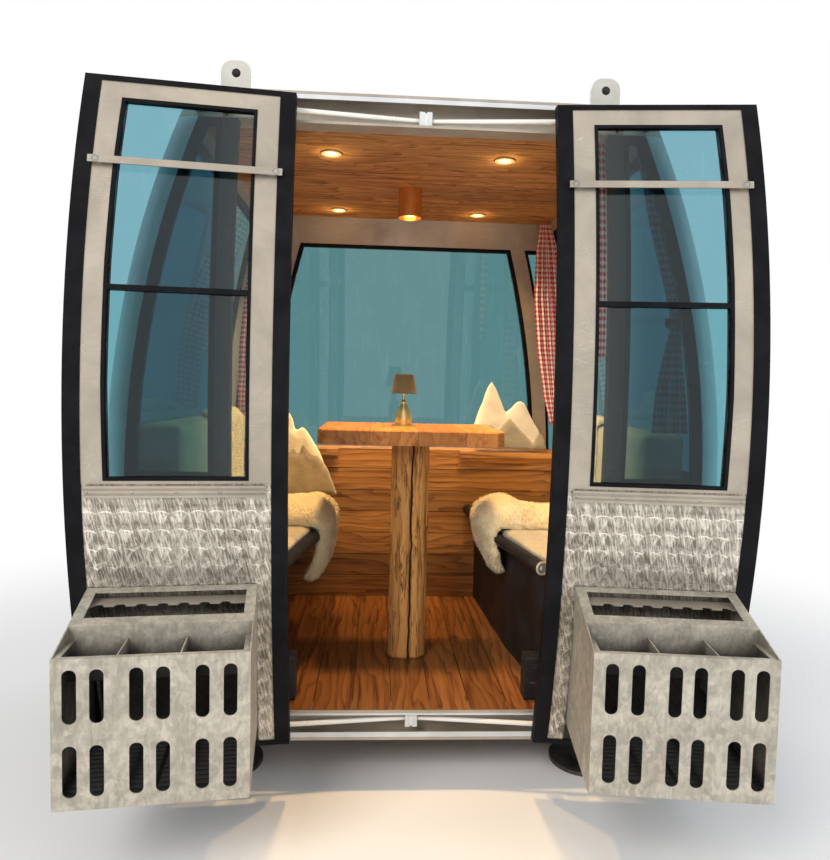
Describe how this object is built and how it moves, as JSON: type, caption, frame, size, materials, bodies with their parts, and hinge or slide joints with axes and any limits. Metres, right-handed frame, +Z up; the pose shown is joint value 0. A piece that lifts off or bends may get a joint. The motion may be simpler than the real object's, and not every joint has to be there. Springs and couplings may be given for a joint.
{
  "type": "cable car cabin",
  "caption": "Retired cable car cabin on round feet, furnished as a small sitting room, with sliding door leaves that carry ski baskets",
  "frame": {"origin": "middle of the overall box at floor level", "axes": "+Z up, -Y towards the door side, +X to the right when looking at the doors"},
  "size_m": [1.774, 1.828, 2.122],
  "materials": {
    "frame_aluminium": "brushed",
    "swirl_sheet": "engine turned",
    "skin_sheet": "satin",
    "galvanised": "galvanised",
    "rod_steel": "polished",
    "black_paint": "satin",
    "pale_paint": "satin",
    "black_rubber": "matt",
    "runner_plastic": "matt",
    "tinted_glass": "polished",
    "rear_wood": "oiled",
    "floor_wood": "oiled",
    "ceiling_wood": "oiled",
    "table_wood": "oiled",
    "post_wood": "hewn",
    "felt": "felt",
    "fleece": "fleece",
    "cushion_felt": "felt",
    "gingham": "checked",
    "lamp_cloth": "woven",
    "copper": "polished",
    "lamp_metal": "polished",
    "lamp_ring": "brushed"
  },
  "bodies": {
    "cabin": {"corner_posts": "frame_aluminium", "base_ring": "frame_aluminium", "floor_boards": "floor_wood", "door_sill": "frame_aluminium", "door_header": "frame_aluminium", "top_ring": "frame_aluminium", "door_jambs": "black_paint", "guide_rods": "rod_steel", "lower_panels": "skin_sheet", "rear_frame": "frame_aluminium", "window_rubbers": "black_rubber", "window_panes": "tinted_glass", "roof": "skin_sheet", "roof_lugs": "pale_paint", "ceiling_boards": "ceiling_wood", "ceiling_spots": "lamp_ring", "copper_lamp": "copper", "rear_lining": "rear_wood", "bench_seats": "felt", "seat_backs": "felt", "bench_chest": "black_paint", "bench_frames": "black_paint", "table_top": "table_wood", "table_post": "post_wood", "lamp_stand": "lamp_metal", "lamp_shade": "lamp_cloth", "sheepskins": "fleece", "peak_cushions": "cushion_felt", "curtains": "gingham", "gear_covers": "black_paint", "round_feet": "galvanised"},
    "door_left": {"door_left_rubber": "black_rubber", "door_left_frame": "frame_aluminium", "door_left_panel": "swirl_sheet", "door_left_panes": "tinted_glass", "door_left_strap": "frame_aluminium", "door_left_basket": "galvanised", "door_left_runners": "runner_plastic"},
    "door_right": {"door_right_rubber": "black_rubber", "door_right_frame": "frame_aluminium", "door_right_panel": "swirl_sheet", "door_right_panes": "tinted_glass", "door_right_strap": "frame_aluminium", "door_right_basket": "galvanised", "door_right_runners": "runner_plastic"}
  },
  "joints": [
    {"name": "door_left_slide", "type": "slide", "parent": "cabin", "child": "door_left", "axis": [0.993, 0.1184, 0], "range_m": [0, 0.348]},
    {"name": "door_right_slide", "type": "slide", "parent": "cabin", "child": "door_right", "axis": [-0.993, 0.1184, 0], "range_m": [0, 0.348]}
  ]
}
